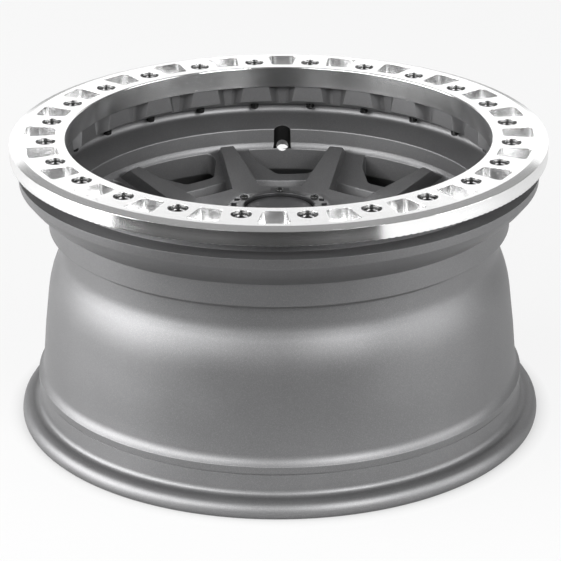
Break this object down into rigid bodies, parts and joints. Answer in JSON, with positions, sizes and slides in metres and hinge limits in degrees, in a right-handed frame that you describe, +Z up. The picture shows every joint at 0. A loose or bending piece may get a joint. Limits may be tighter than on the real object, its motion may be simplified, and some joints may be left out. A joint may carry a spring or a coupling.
{
  "type": "beadlock wheel",
  "caption": "Off-road wheel with a bolted clamp ring, tapered spokes with open windows, a stepped barrel and a screwed centre cap.",
  "frame": {"origin": "wheel axis at the plane of the inboard lip, the floor the wheel stands on", "axes": "+Z up the wheel axis, from the inboard lip to the clamp ring; +Y to the valve hole; +X completes the right-handed set"},
  "size_m": [0.474, 0.4739, 0.2613],
  "materials": {
    "gunmetal_paint": "satin metallic gunmetal paint on cast aluminium",
    "machined_aluminium": "bright machined, clear coated",
    "black_steel": "black oxide",
    "black_plastic": "satin black",
    "grey_plastic": "brushed look"
  },
  "bodies": {
    "root": {"wheel": "gunmetal_paint", "beadlock_ring": "machined_aluminium", "beadlock_bolts": "black_steel", "cap_ring": "gunmetal_paint", "cap_cup": "black_plastic", "cap_disc": "grey_plastic", "cap_screws": "black_steel"}
  },
  "joints": []
}
